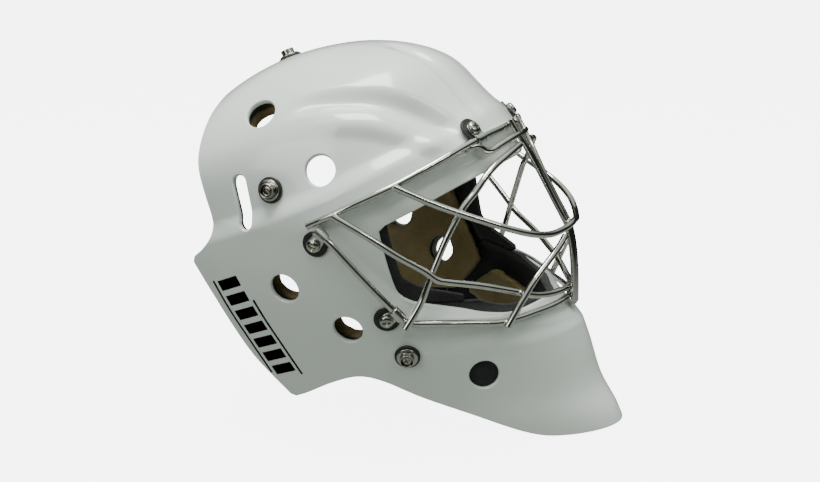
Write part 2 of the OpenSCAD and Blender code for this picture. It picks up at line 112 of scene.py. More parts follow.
def base(v, a):
    """Point of the plain surface at level v and angle a, 0 at the front and 90 at the wearer's left."""
    v, a = np.broadcast_arrays(np.asarray(v, float), np.asarray(a, float))
    z = level_z(v)
    t = np.minimum(z, WIDEST_Z)
    rise = np.clip(v, 0, 1) * np.pi / 2
    across, up, waist = np.cos(rise), np.sin(rise), np.sin(2 * rise)
    half = smooth(2, t) * across * (1 + 0.02 * waist)
    mid = smooth(3, t) * (1 - up) + CROWN_Y * up
    front = CROWN_Y + (smooth(1, t) - CROWN_Y) * across * (1 - 0.175 * waist)
    rear = CROWN_Y + (smooth(4, t) - CROWN_Y) * across * (1 - 0.1 * waist)
    nose = smooth(5, t)
    nose = nose + (0.5 - nose) * np.minimum(1.6 * up, 1)
    a = (a + 180) % 360 - 180
    f, r = np.minimum(np.abs(a) / 90, 1), np.maximum(np.abs(a) / 90 - 1, 0)
    x = np.where(r > 0, cubic(1, 1, 0.95, 0, r), cubic(0, nose, 1, 1, f))
    y = np.where(
        r > 0,
        cubic(mid, mid + 0.72 * (rear - mid), rear, rear, r),
        cubic(front, front, (mid + front) / 2, mid, f),
    )
    return np.stack([np.sign(a) * half * x, y, z], -1)


def ease(s):
    t = np.clip(s, 0, 1)
    return t * t * (3 - 2 * t)


def hump(s):
    return ease(1 - np.abs(s))


def relief(p):
    """How far the moulded surface stands out from the plain one, by place in the side view."""
    x, y, z = np.abs(p[..., 0]), p[..., 1], p[..., 2]
    step = 0.9 * (z - (54 - 0.5 * (y - 19) + 0.0008 * (y - 19) ** 2))
    scoop_z = 120 - np.where(y > 3, 0.0034, 0.0062) * (y - 3) ** 2
    inside_cage = np.minimum(
        np.minimum(0.88 * (39 + 0.536 * (27 - y) - z), -0.757 * (y - 22) + 0.653 * (z - 38)),
        z + 29 - 0.06 * (y + 60),
    )
    return (
        -SHOULDER_H * ease(step / 15) * (1 - ease((step - 15) / 45)) * ease((y + 80) / 50)
        - SCOOP_D * hump((z - scoop_z) / 8.5) * ease((62 - y) / 50) * ease((y + 64) / 14)
        + 2.6 * hump((z - scoop_z + 14) / 10) * ease((40 - y) / 30) * ease((y + 64) / 20)
        - 2.5 * hump((x - 18 + 0.14 * (y + 5)) / 9) * ease((20 - y) / 30) * ease((z - 104) / 12)
        - RECESS_D * ease(inside_cage / 11)
        - 6 * ease((-95 - y) / 25) * ease((z + 40) / 11) * ease(-z / 10)
        - 2.5 * hump((z + 43 - 0.0012 * (y + 60) ** 2) / 11) * ease((-15 - y) / 25)
    )


def unit(p):
    return p / np.maximum(np.linalg.norm(p, axis=-1, keepdims=True), 1e-12)


def base_normal(v, a):
    v = np.asarray(v, float)
    n = unit(np.cross(
        base(v, a + 0.5) - base(v, a - 0.5), base(np.minimum(v + 0.004, 1), a) - base(v - 0.004, a)
    ))
    return np.where((v > 0.995)[..., None], [0.0, 0.0, 1.0], n)


def skin(v, a, d=0.0):
    """Point of the moulded surface, moved out by d."""
    p = base(v, a)
    return p + base_normal(v, a) * (relief(p) + d)[..., None]


def skin_normal(v, a, d=0.0, da=0.4, dv=0.004):
    v = np.asarray(v, float)
    n = unit(np.cross(
        skin(v, a + da, d) - skin(v, a - da, d), skin(np.minimum(v + dv, 1), a, d) - skin(v - dv, a, d)
    ))
    return np.where((v > 0.995)[..., None], [0.0, 0.0, 1.0], n)


def spot(place):
    """Level and angle of a place (y, z) of the side view, on the wearer's left."""
    v, lo, hi = level_of(place[1]), 0.0, 180.0
    for _ in range(30):
        m = (lo + hi) / 2
        lo, hi = (m, hi) if base(v, m)[1] < place[0] else (lo, m)
    return v, (lo + hi) / 2


# ---- outlines in the side view, (y, z) ----------------------------------------------
def spline(points, n=10):
    """Smooth curve through points, each stretch in n steps."""
    p = np.array(points, float)
    p = np.concatenate([p[:1], p, p[-1:]])
    s = np.linspace(0, 1, n, endpoint=False)[:, None]
    out = []
    for a, b, c, d in zip(p[:-3], p[1:-2], p[2:-1], p[3:]):
        out.append(
            b + (c - a) / 2 * s + (a - 2.5 * b + 2 * c - d / 2) * s**2 + (1.5 * (b - c) + (d - a) / 2) * s**3
        )
    return np.concatenate(out + [p[-1:]])


BOTTOM_EDGE = [
    (-185, -118), (-139, -121), (-113, -118), (-73, -102.5), (-40, -90), (-14, -78.5), (4, -77), (25, -86),
    (50, -101), (60, -106),
]
JAW_EDGE = [(65, -105), (90, -73), (111, -27), (126, 0)]
REAR_EDGE = [(124, 5), (115, 12), (107, 22), (106, 34), (112, 54), (119, 74), (122, 98), (122, 120)]
TRIM = np.concatenate([
    spline(BOTTOM_EDGE), spline(JAW_EDGE), spline(REAR_EDGE), [(122, 170), (-220, 170), (-220, -118)]
])
OPENING_TOP = [(-22, 40), (-40, 50), (-62, 63), (-88, 76), (-130, 88)]
OPENING_REAR = [(-38, -15), (-32, -11), (-27, -3), (-21, 22), (-18.5, 36)]
OPENING_BOTTOM = [(-160, -23), (-125, -23), (-109, -26.5), (-97, -27), (-82, -25), (-66, -21), (-46, -17)]
# The foam stops short of the opening above, and stands out past it below and behind
FOAM_TOP = [(-23.5, 40), (-40, 51.5), (-62, 64.5), (-88, 77.5), (-130, 89.5)]
FOAM_REAR = [(-43, -6), (-37, -2.5), (-32, 2), (-26.5, 23), (-24, 36)]
FOAM_BOTTOM = [(-160, -23), (-125, -23), (-112, -25.5), (-100, -24.5), (-84, -21), (-70, -14), (-49, -8)]
FOAM_OPENING = np.concatenate([
    spline(FOAM_TOP), [(-200, 89.5), (-200, -23)], spline(FOAM_BOTTOM), spline(FOAM_REAR)
])
OPENING = np.concatenate([
    spline(OPENING_TOP), [(-200, 88), (-200, -23)], spline(OPENING_BOTTOM), spline(OPENING_REAR)
])
CROWN_REGION = [(-130, 82), (130, 82), (130, 170), (-130, 170)]
SIDE_REGION = [(-130, 81), (130, 81), (130, -60), (20, -110), (-20, -30), (-38, -18), (-130, -18)]
CHIN_REGION = [(-21, -31), (19, -111), (19, -140), (-200, -140), (-200, -18.4), (-38, -18.4), (-36, -20)]
CROWN_PAD = [(-30, 91), (114, 91), (114, 170), (-30, 170)]
FOREHEAD_PAD = [(-34, 89), (-34, 113), (-110, 113), (-110, 85), (-75, 85)]
SIDE_PAD = [
    (-2, 54), (-8, 18), (-18, -4), (-38, -36), (-27, -53), (-12, -68), (28, -74), (60, -84), (84, -54),
    (92, -20), (84, 5), (66, 26), (60, 52),
]
CHEEK_PAD = [(-30, -58), (-55, -37), (-84, -42), (-97, -46), (-93, -72), (-60, -78), (-22, -66)]
CHIN_PAD = [(-101, -48), (-150, -48), (-150, -84), (-97, -84)]

VENTS = [(74, 108), (22, 77), (49, -9), (5, -36)]
CHIN_VENT = (-82.5, -70.5)
SLOT = (79, 50)
REAR_STUD, JAW_STUD, TOP_STUD_Y = (57, 61), (-34, -54), 98
BROW_CLIP, TEMPLE_CLIP, JAW_CLIP = (-62, 97), (21, 28), (-23, -24.5)


# ---- frames that stand on the surface --------------------------------------------------
def stand(place, side):
    """Matrix with its origin on the surface, +Z outward and +Y upward, in millimetres."""
    v, a = spot(place)
    n = skin_normal(v, a, 0, 0.7, 0.006)
    y = unit(np.array([0, 0, 1]) - n[2] * n)
    return mirrored(framed(np.cross(y, n), y, n, skin(v, a)), side)


def framed(x, y, z, origin):
    m = np.eye(4)
    m[:3, 0], m[:3, 1], m[:3, 2], m[:3, 3] = x, y, z, origin
    return m


def mirrored(m, side):
    return np.diag([side, 1, 1, 1]) @ m


def shifted(m, z, angle=0.0):
    """Frame m moved outward by z and turned about its own +Z by angle, in degrees."""
    t = np.eye(4)
    s, c = math.sin(math.radians(angle)), math.cos(math.radians(angle))
    t[:2, :2] = [(c, -s), (s, c)]
    t[2, 3] = z
    return m @ t


def stand_on_crown():
    lo, hi = 0.0, 1.0
    for _ in range(30):
        m = (lo + hi) / 2
        lo, hi = (m, hi) if base(m, 180)[1] > TOP_STUD_Y else (lo, m)
    n = base_normal(lo, 180)
    n[0] = 0
    p = base(lo, 180)
    p[0] = 0
    return framed(np.array([1.0, 0, 0]), np.cross(n, [1, 0, 0]), n, p)


# ---- fields: how far inside a shape a point lies, in millimetres -----------------------
def polygon_field(outline, grow=0.0):
    """Inside an outline of the side view."""
    q = np.array(outline, float)
    e = np.roll(q, -1, 0) - q

    def field(p):
        out = np.empty(len(p))
        for start in range(0, len(p), 20000):
            s = p[start:start + 20000, None, 1:]
            w = s - q
            t = np.clip((w * e).sum(-1) / np.maximum((e * e).sum(-1), 1e-9), 0, 1)
            distance = np.linalg.norm(w - t[..., None] * e, axis=-1).min(1)
            crosses = (q[:, 1] > s[..., 1]) != (np.roll(q, -1, 0)[:, 1] > s[..., 1])
            x = q[:, 0] + e[:, 0] * (s[..., 1] - q[:, 1]) / np.where(e[:, 1] == 0, 1e-9, e[:, 1])
            inside = (crosses & (s[..., 0] < x)).sum(1) % 2 == 1
            out[start:start + 20000] = np.where(inside, distance, -distance) + grow
        return out

    return field


def slot_field(m, length, width):
    """Outside a straight slot, or a round hole where length is width. Both sides of the mask have one."""
    r, turn = width / 2, np.linalg.inv(m)

    def field(p):
        q = np.abs(p) * [1, 0, 0] + p * [0, 1, 1]
        q = q @ turn[:3, :3].T + turn[:3, 3]
        y = np.maximum(np.abs(q[:, 1]) - (length - width) / 2, 0)
        return np.where(np.abs(q[:, 2]) < 25, np.hypot(q[:, 0], y) - r, 1000.0)

    return field


def hole_field(place, d):
    return slot_field(stand(place, LEFT), d, d)


def outside(field):
    return lambda p: -field(p)


def half_field(side):
    """One side of the mid-plane, HALF_GAP short of it."""
    return lambda p: side * p[:, 0] - HALF_GAP


def all_of(*fields):
    return lambda p: np.min([f(p) for f in fields], 0)


# ---- mesh building ----------------------------------------------------------------------
def mesh_object(name, points, faces, normals=None):
    """A smooth-shaded object from points in millimetres."""
    mesh = bpy.data.meshes.new(name)
    mesh.from_pydata((np.asarray(points) * MM).tolist(), [], [tuple(int(i) for i in f) for f in faces])
    mesh.validate(clean_customdata=False)
    mesh.shade_smooth()
    if normals is not None:
        mesh.normals_split_custom_set_from_vertices(unit(np.asarray(normals)).tolist())
    obj = bpy.data.objects.new(name, mesh)
    bpy.context.scene.collection.objects.link(obj)
    return obj


def columns(scale):
    """Angles all the way round, closest together behind the temples."""
    half = np.concatenate([
        np.arange(0, 90, scale), np.arange(90, 150, 0.75 * scale), np.arange(150, 180, 2 * scale)
    ])
    return np.concatenate([[-180.0], -half[:0:-1], half])


def sheet_grid(scale):
    """Levels, angles and triangles of the whole surface, about 2 mm apart for scale 1."""
    below, above = int(92 / scale), int(76 / scale)
    levels = np.concatenate([np.linspace(-1, 0, below, endpoint=False), np.linspace(0, 1, above)])
    angles = columns(scale)
    rows, cols = len(levels), len(angles)
    va = np.stack(np.meshgrid(levels, angles, indexing="ij"), -1).reshape(-1, 2)
    i, j = np.meshgrid(np.arange(rows - 1), np.arange(cols), indexing="ij")
    p, q = (i * cols + j).ravel(), (i * cols + (j + 1) % cols).ravel()
    up_p, up_q = p + cols, q + cols
    top = (i == rows - 2).ravel()
    up_p[top] = up_q[top] = (rows - 1) * cols
    tri = np.concatenate([np.stack([p, q, up_q], 1), np.stack([p, up_q, up_p], 1)[~top]])
    return va, tri


def unwrap(va0, va1):
    """va1 with its angle brought within half a turn of va0's."""
    out = va1.copy()
    out[:, 1] += 360 * np.round((va0[:, 1] - va1[:, 1]) / 360)
    return out


def clip(va, tri, field, edge):
    """The part of a grid where field is above edge, with its border exactly on it."""
    value = field(skin(va[:, 0], va[:, 1])) - edge
    value[np.abs(value) < 1e-6] = 1e-6
    keep = value > 0
    count = keep[tri].sum(1)
    whole = tri[count == 3]
    parts, cut = [], []
    for inside in (1, 2):
        t = tri[count == inside]
        odd = keep[t] if inside == 1 else ~keep[t]
        first = odd.argmax(1)
        t = np.stack([t[np.arange(len(t)), (first + k) % 3] for k in range(3)], 1)
        cut.append((inside, t, np.sort(t[:, [0, 1]], 1), np.sort(t[:, [0, 2]], 1)))
    edges, index = np.unique(
        np.concatenate([np.concatenate([c[2], c[3]]) for c in cut]), axis=0, return_inverse=True
    )
    index = index.ravel()
    a, b = va[edges[:, 0]], unwrap(va[edges[:, 0]], va[edges[:, 1]])
    fa, fb = value[edges[:, 0]], value[edges[:, 1]]
    for _ in range(4):
        t = np.clip(fa / (fa - fb), 0.02, 0.98)[:, None]
        m = a + t * (b - a)
        fm = field(skin(m[:, 0], m[:, 1])) - edge
        same = (fm > 0) == (fa > 0)
        a, fa = np.where(same[:, None], m, a), np.where(same, fm, fa)
        b, fb = np.where(same[:, None], b, m), np.where(same, fb, fm)
    t = (fa / np.where(fa == fb, 1, fa - fb))[:, None]
    new = a + t * (b - a)
    start, offset = len(va), 0
    for inside, t, e1, e2 in cut:
        i1 = start + index[offset:offset + len(t)]
        i2 = start + index[offset + len(t):offset + 2 * len(t)]
        offset += 2 * len(t)
        if inside == 1:
            parts.append(np.stack([t[:, 0], i1, i2], 1))
        else:
            parts += [np.stack([i1, t[:, 1], t[:, 2]], 1), np.stack([i1, t[:, 2], i2], 1)]
    va, tri = np.concatenate([va, new]), np.concatenate([whole, *parts])
    used, tri = np.unique(tri, return_inverse=True)
    return va[used], tri.reshape(-1, 3)


def border_edges(tri):
    """Edges with a triangle on one side only, in that triangle's direction."""
    e = np.concatenate([tri[:, [0, 1]], tri[:, [1, 2]], tri[:, [2, 0]]])
    key = np.sort(e, 1)
    _, index, count = np.unique(key, axis=0, return_inverse=True, return_counts=True)
    return e[count[index.ravel()] == 1]


def layer(name, field, outer, inner, lip, scale=1.0, rings=6):
    """A solid layer of the mask between two distances from its surface, where field is positive.
    Its edges are rounded, and lip is how far the rounding reaches."""
    va, tri = sheet_grid(scale)
    va, tri = clip(va, tri, field, lip)
    v, a = va[:, 0], va[:, 1]
    n = len(va)
    top, under = skin(v, a, outer), skin(v, a, inner)
    edges = border_edges(tri)
    border = np.unique(edges)
    where = np.full(n, -1)
    where[border] = np.arange(len(border))
    # the direction out of the layer at its border, from the field's gradient
    bv, ba = v[border], a[border]
    hv, ha = 0.004, 0.4
    tv, ta = skin(bv + hv, ba) - skin(bv - hv, ba), skin(bv, ba + ha) - skin(bv, ba - ha)
    fv = field(skin(bv + hv, ba)) - field(skin(bv - hv, ba))
    fa = field(skin(bv, ba + ha)) - field(skin(bv, ba - ha))
    gvv, gva, gaa = (tv * tv).sum(1), (tv * ta).sum(1), (ta * ta).sum(1)
    det = np.maximum(gvv * gaa - gva * gva, 1e-9)
    slope = ((gaa * fv - gva * fa) / det)[:, None] * tv + ((gvv * fa - gva * fv) / det)[:, None] * ta
    half = (top[border] - under[border]) / 2
    thick = np.linalg.norm(half, axis=1, keepdims=True)
    up = half / thick
    out = -slope
    out = unit(out - (out * up).sum(1, keepdims=True) * up)
    points, normals = [top, under], [skin_normal(v, a, outer), -skin_normal(v, a, inner)]
    middle = (top[border] + under[border]) / 2
    for k in range(1, rings):
        turn = math.pi * k / rings
        points.append(middle + half * math.cos(turn) + out * lip * math.sin(turn))
        normals.append(unit(up * math.cos(turn) / thick + out * math.sin(turn) / lip))
    ring = [np.arange(n)[border]]
    ring += [2 * n + k * len(border) + np.arange(len(border)) for k in range(rings - 1)]
    ring.append(n + border)
    faces = [*tri.tolist(), *(tri[:, ::-1] + n).tolist()]
    e0, e1 = where[edges[:, 0]], where[edges[:, 1]]
    for lower, upper in zip(ring[:-1], ring[1:]):
        faces += np.stack([lower[e1], lower[e0], upper[e0], upper[e1]], 1).tolist()
    return mesh_object(name, np.concatenate(points), faces, np.concatenate(normals))


# ---- materials ------------------------------------------------------------------------------
class Nodes:
    """A material's node tree, with short ways to add and join nodes."""

    def __init__(self, name):
        self.material = bpy.data.materials.new(name)
        self.material.use_nodes = True
        self.tree = self.material.node_tree
        self.shader = self.tree.nodes["Principled BSDF"]
        self.place = self.add("ShaderNodeTexCoord").outputs["Object"]

    def add(self, kind, inputs=None, **settings):
        node = self.tree.nodes.new(kind)
        for key, value in settings.items():
            setattr(node, key, value)
        for key, value in (inputs or {}).items():
            self.set(node.inputs[key], value)
        return node

    def set(self, socket, value):
        if isinstance(value, bpy.types.NodeSocket):
            self.tree.links.new(value, socket)
        elif hasattr(socket.default_value, "__len__") and len(value) == 3 and len(socket.default_value) == 4:
            socket.default_value = (*value, 1)
        else:
            socket.default_value = value

    def noise(self, scale, detail=3.0, roughness=0.5):
        return self.add("ShaderNodeTexNoise", {
            "Vector": self.place, "Scale": scale, "Detail": detail, "Roughness": roughness,
        }).outputs["Fac"]

    def cells(self, scale):
        return self.add("ShaderNodeTexVoronoi", {"Vector": self.place, "Scale": scale}).outputs["Distance"]

    def ramp(self, value, *stops):
        node = self.add("ShaderNodeValToRGB", {"Fac": value})
        ramp = node.color_ramp
        while len(ramp.elements) < len(stops):
            ramp.elements.new(0.5)
        for element, (at, colour) in zip(ramp.elements, stops):
            element.position = at
            element.color = (*colour, 1)
        return node.outputs["Color"]

    def range(self, value, lo, hi):
        return self.add("ShaderNodeMapRange", {"Value": value, "To Min": lo, "To Max": hi}).outputs["Result"]

    def mix(self, fac, a, b, blend="MIX"):
        node = self.add("ShaderNodeMix", data_type="RGBA", blend_type=blend)
        self.set(node.inputs[0], fac)
        self.set(node.inputs[6], a)
        self.set(node.inputs[7], b)
        return node.outputs[2]

    def bump(self, height, strength, distance_mm, under=None):
        inputs = {"Height": height, "Strength": strength, "Distance": distance_mm * MM}
        if under is not None:
            inputs["Normal"] = under
        return self.add("ShaderNodeBump", inputs).outputs["Normal"]

    def finish(self, **inputs):
        for key, value in inputs.items():
            self.set(self.shader.inputs[key.replace("_", " ")], value)
        return self.material


def shell_paint():
    """Gloss white paint over laminate: faint orange peel, specks and long soft waviness."""
    m = Nodes("shell_paint")
    tint = m.ramp(m.noise(9, 2), (0.3, (0.72, 0.765, 0.725)), (0.7, (0.79, 0.82, 0.785)))
    specks = m.ramp(m.cells(210), (0.0, (0.5, 0.5, 0.47)), (0.035, (1, 1, 1)))
    wave = m.bump(m.noise(30, 1), 0.12, 0.6)
    peel = m.bump(m.noise(600, 2), 0.05, 0.05, wave)
    return m.finish(
        Base_Color=m.mix(0.12, tint, specks, "MULTIPLY"), Roughness=m.range(m.noise(60, 3), 0.17, 0.27),
        Normal=peel, Coat_Weight=0.6, Coat_Roughness=0.06, Coat_IOR=1.5, Specular_IOR_Level=0.5,
    )


def polished_steel(name, colour, roughness, grain_scale=900.0):
    """Polished stainless: bright metal with a fine grain, smears and a little tarnish."""
    m = Nodes(name)
    smear = m.noise(120, 4, 0.6)
    tone = m.ramp(smear, (0.25, tuple(0.85 * c for c in colour)), (0.6, colour))
    grain = m.bump(m.noise(grain_scale, 3, 0.6), 0.03, 0.01)
    return m.finish(
        Base_Color=tone, Metallic=1.0, Roughness=m.range(smear, roughness * 0.7, roughness * 1.5),
        Normal=grain,
    )


def pad_leather():
    """Smooth tan leather-like skin: fine pebble grain, creases and rubbed, lighter patches."""
    m = Nodes("pad_leather")
    patches = m.noise(35, 4, 0.6)
    colour = m.ramp(
        patches, (0.3, (0.2, 0.145, 0.055)), (0.55, (0.26, 0.19, 0.08)), (0.8, (0.32, 0.24, 0.11))
    )
    grain = m.cells(900)
    colour = m.mix(m.range(grain, 0.0, 0.35), colour, (0.1, 0.07, 0.024))
    creases = m.bump(m.noise(90, 5, 0.65), 0.35, 0.5)
    return m.finish(
        Base_Color=colour, Roughness=m.range(patches, 0.42, 0.62), Normal=m.bump(grain, 0.4, 0.12, creases),
        Specular_IOR_Level=0.4, Sheen_Weight=0.08,
    )


def lining_foam():
    """Black closed-cell foam: small open-cut cells and a soft, dusty sheen."""
    m = Nodes("lining_foam")
    cells = m.cells(1100)
    colour = m.ramp(cells, (0.1, (0.022, 0.022, 0.024)), (0.6, (0.008, 0.008, 0.009)))
    return m.finish(
        Base_Color=colour, Roughness=m.range(m.noise(150, 3), 0.75, 0.95), Normal=m.bump(cells, 0.6, 0.25),
        Sheen_Weight=0.15, Sheen_Roughness=0.5,
    )


def black_rubber():
    """Moulded rubber: fine grain, worn a little grey in patches."""
    m = Nodes("black_rubber")
    wear = m.noise(260, 4, 0.6)
    colour = m.ramp(wear, (0.35, (0.006, 0.006, 0.006)), (0.75, (0.02, 0.02, 0.019)))
    return m.finish(
        Base_Color=colour, Roughness=m.range(wear, 0.4, 0.62), Normal=m.bump(m.noise(1500, 2), 0.3, 0.06),
        Specular_IOR_Level=0.45,
    )


def band_paint():
    """Satin black paint, slightly uneven."""
    m = Nodes("band_paint")
    wear = m.noise(300, 4, 0.6)
    return m.finish(
        Base_Color=m.ramp(wear, (0.3, (0.012, 0.014, 0.012)), (0.7, (0.022, 0.025, 0.022))),
        Roughness=m.range(wear, 0.35, 0.5), Specular_IOR_Level=0.3,
    )


def floor_paper():
    """Pale paper that glows, so that it stays as even as a studio sweep."""
    m = Nodes("floor_paper")
    grain = m.noise(400, 3)
    return m.finish(
        Base_Color=m.ramp(grain, (0.3, (0.3, 0.3, 0.3)), (0.7, (0.32, 0.32, 0.32))), Roughness=0.9,
        Specular_IOR_Level=0.0, Emission_Color=(0.9, 0.9, 0.9, 1), Emission_Strength=6.5,
    )


SHELL, LEATHER, FOAM, RUBBER, BAND = shell_paint(), pad_leather(), lining_foam(), black_rubber(), band_paint()
WIRE = polished_steel("cage_steel", (0.6, 0.585, 0.55), 0.07)
STRIP = polished_steel("clip_steel", (0.6, 0.6, 0.57), 0.2)
HEAD = polished_steel("fastener_steel", (0.45, 0.43, 0.39), 0.15, 500.0)
ZINC = polished_steel("zinc_plate", (0.5, 0.51, 0.52), 0.4)


def finish_piece(obj, material, slot, *nodes):
    """Gives a piece its material; its slot argument is not used. It stands for the CAD nodes named."""
    obj.data.materials.clear()
    obj.data.materials.append(material)
    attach(obj, "root")
    if nodes:
        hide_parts(*nodes)
    return obj


# ---- the shell and its lining -------------------------------------------------------------------
TRIM_FIELD = polygon_field(TRIM)
OPENING_FIELD = outside(polygon_field(OPENING))
VENT_FIELDS = [hole_field(place, VENT_D) for place in VENTS]
SLOT_PLACE = shifted(stand(SLOT, LEFT), 0, -SLOT_TILT)
SLOT_FIELD = slot_field(SLOT_PLACE, SLOT_L, SLOT_W)
# How far the rounded edges of each layer reach
SHELL_LIP, FOAM_LIP, PAD_LIP = 1.1, 0.7, 2.2
# How much wider than the shell's openings the lining's are
FOAM_MARGIN, PAD_MARGIN = 6, 3

shell = layer(
    "mask_shell",
    all_of(TRIM_FIELD, OPENING_FIELD, SLOT_FIELD, hole_field(CHIN_VENT, VENT_D), *VENT_FIELDS),
    0, -SHELL_T, SHELL_LIP,
)
finish_piece(shell, SHELL, "shell", "shell")

FOAM_OUT = -SHELL_T - LAYER_GAP
FOAM_IN = FOAM_OUT - FOAM_T
foam_field = all_of(
    polygon_field(TRIM, -3), outside(polygon_field(FOAM_OPENING)),
    slot_field(SLOT_PLACE, SLOT_L + FOAM_MARGIN, SLOT_W + FOAM_MARGIN),
    *[hole_field(place, VENT_D + FOAM_MARGIN) for place in VENTS],
)
for name, region, side in (
    ("crown_foam", CROWN_REGION, 0), ("side_foam_right", SIDE_REGION, RIGHT),
    ("side_foam_left", SIDE_REGION, LEFT), ("chin_foam", CHIN_REGION, 0),
):
    fields = [foam_field, polygon_field(region)] + ([half_field(side)] if side else [])
    foam = layer(name + "_piece", all_of(*fields), FOAM_OUT, FOAM_IN, FOAM_LIP, 1.5, 4)
    finish_piece(foam, FOAM, "foam", name)

PAD_OUT = FOAM_IN - LAYER_GAP
PAD_IN = PAD_OUT - PAD_T


def puff(obj, cap_mm, voxel_mm=3.5, pressure=4.0):
    """Swells a pad by cloth simulation, as stuffing does, by cap_mm at most, then smooths it."""
    remesh = obj.modifiers.new("remesh", "REMESH")
    remesh.mode, remesh.voxel_size = "VOXEL", voxel_mm * MM
    apply(obj)
    rest = points_of(obj)
    cloth = obj.modifiers.new("cloth", "CLOTH")
    cloth.settings.use_pressure = True
    cloth.settings.uniform_pressure_force = pressure
    cloth.settings.effector_weights.gravity = 0
    cloth.settings.tension_stiffness = cloth.settings.compression_stiffness = 20
    cloth.settings.bending_stiffness = 1
    for step in range(1, 21):
        bpy.context.scene.frame_set(step)
    apply(obj)
    bpy.context.scene.frame_set(1)
    moved = points_of(obj) - rest
    length = np.linalg.norm(moved, axis=1, keepdims=True)
    set_points(obj, rest + moved * np.minimum(1, cap_mm * MM / np.maximum(length, 1e-9)))
    relax = obj.modifiers.new("relax", "SMOOTH")
    relax.factor, relax.iterations = 0.5, 3
    obj.modifiers.new("subdivision", "SUBSURF").levels = 1
    apply(obj)
    obj.data.shade_smooth()


def points_of(obj):
    co = np.empty(len(obj.data.vertices) * 3, np.float32)
    obj.data.vertices.foreach_get("co", co)
    return co.reshape(-1, 3).astype(float)


def set_points(obj, co):
    obj.data.vertices.foreach_set("co", co.astype(np.float32).ravel())
    obj.data.update()


def apply(obj):
    """Turns an object's modifiers into its mesh."""
    graph = bpy.context.evaluated_depsgraph_get()
    mesh = bpy.data.meshes.new_from_object(obj.evaluated_get(graph))
    obj.modifiers.clear()
    old, obj.data = obj.data, mesh
    bpy.data.meshes.remove(old)
    mesh.name = obj.name


PAD_VENTS = [hole_field(place, VENT_D + PAD_MARGIN) for place in VENTS]
for name, outline, side in (
    ("crown_pad", CROWN_PAD, 0), ("forehead_pad", FOREHEAD_PAD, 0),
    ("side_pad_right", SIDE_PAD, RIGHT), ("side_pad_left", SIDE_PAD, LEFT),
    ("cheek_pad_right", CHEEK_PAD, RIGHT), ("cheek_pad_left", CHEEK_PAD, LEFT), ("chin_pad", CHIN_PAD, 0),
):
    fields = [polygon_field(outline), TRIM_FIELD, *PAD_VENTS] + ([half_field(side)] if side else [])
    pad = layer(name + "_cushion", all_of(*fields), PAD_OUT, PAD_IN, PAD_LIP, 1.5, 6)
    puff(pad, 1.0)
    finish_piece(pad, LEATHER, "pad", name)

# ---- the painted band on each side ----------------------------------------------------------------
# It runs along the jaw's rear edge: a thin line, a row of bars and another thin line.
BAND_TOP, BAND_FOOT = np.array([110, -12.5]), np.array([75.5, -92.5])
along = unit((BAND_FOOT - BAND_TOP).astype(float))
inward = np.array([along[1], -along[0]])
BAND_LENGTH = float(np.linalg.norm(BAND_FOOT - BAND_TOP))


def band_piece(start, end, near, far):
    """Corner points of a bar, start to end along the band and near to far across it."""
    corners = ((start, near), (end, near), (end, far), (start, far))
    return [BAND_TOP + along * s + inward * w for s, w in corners]


# Heights of the paint's face and back above the shell, and the size of its patches' squares
PAINT_FACE, PAINT_BACK, BAND_SQUARE = 0.1, -0.2, 1.5
BARS = 7
pitch = BAND_LENGTH / BARS
band_shapes = [band_piece(0, BAND_LENGTH - 6, 0.5, 2.3), band_piece(22, BAND_LENGTH + 1, 26.5, 28.3)]
band_shapes += [band_piece(k * pitch + 1.2, k * pitch + 9.2, 5, 24) for k in range(BARS)]


def spots(places):
    """Level and angle of many places (y, z) below the widest height, on the wearer's left."""
    v = (places[:, 1] - WIDEST_Z) / (WIDEST_Z - BOTTOM_Z)
    lo, hi = np.zeros(len(v)), np.full(len(v), 180.0)
    for _ in range(30):
        m = (lo + hi) / 2
        under = base(v, m)[:, 1] < places[:, 0]
        lo, hi = np.where(under, m, lo), np.where(under, hi, m)
    return v, (lo + hi) / 2


def decal(name, shapes, side):
    """Thin painted patches that lie on the shell."""
    points, normals, faces, start = [], [], [], 0
    for a, b, c, d in shapes:
        rows = max(int(np.linalg.norm(b - a) / BAND_SQUARE), 2) + 1
        cols = max(int(np.linalg.norm(d - a) / BAND_SQUARE), 2) + 1
        shares = np.meshgrid(np.linspace(0, 1, rows), np.linspace(0, 1, cols), indexing="ij")
        s, w = (g.ravel()[:, None] for g in shares)
        v, angle = spots((a * (1 - s) + b * s) * (1 - w) + (d * (1 - s) + c * s) * w)
        n = skin_normal(v, angle)
        flip = np.array([side, 1, 1])
        for height, lean in ((PAINT_FACE, 1), (PAINT_BACK, -1)):
            points.append((skin(v, angle) + n * height) * flip)
            normals.append(n * flip * lean)
        i, j = (g.ravel() for g in np.meshgrid(np.arange(rows - 1), np.arange(cols - 1), indexing="ij"))
        p = i * cols + j
        quads = np.stack([p, p + 1, p + cols + 1, p + cols], 1)
        count = rows * cols
        rim = [*range(cols), *range(2 * cols - 1, count, cols), *range(count - 2, count - cols - 1, -1),
               *range(count - 2 * cols, 0, -cols)]
        walls = [(rim[k], rim[k - 1], rim[k - 1] + count, rim[k] + count) for k in range(len(rim))]
        patch = np.array([*quads.tolist(), *(quads[:, ::-1] + count).tolist(), *walls]) + start
        faces += (patch if side == RIGHT else patch[:, ::-1]).tolist()
        start += 2 * count
    return mesh_object(name, np.concatenate(points), faces, np.concatenate(normals))


for side, word in ((RIGHT, "right"), (LEFT, "left")):
    finish_piece(decal("side_band_" + word, band_shapes, side), BAND, "shell")

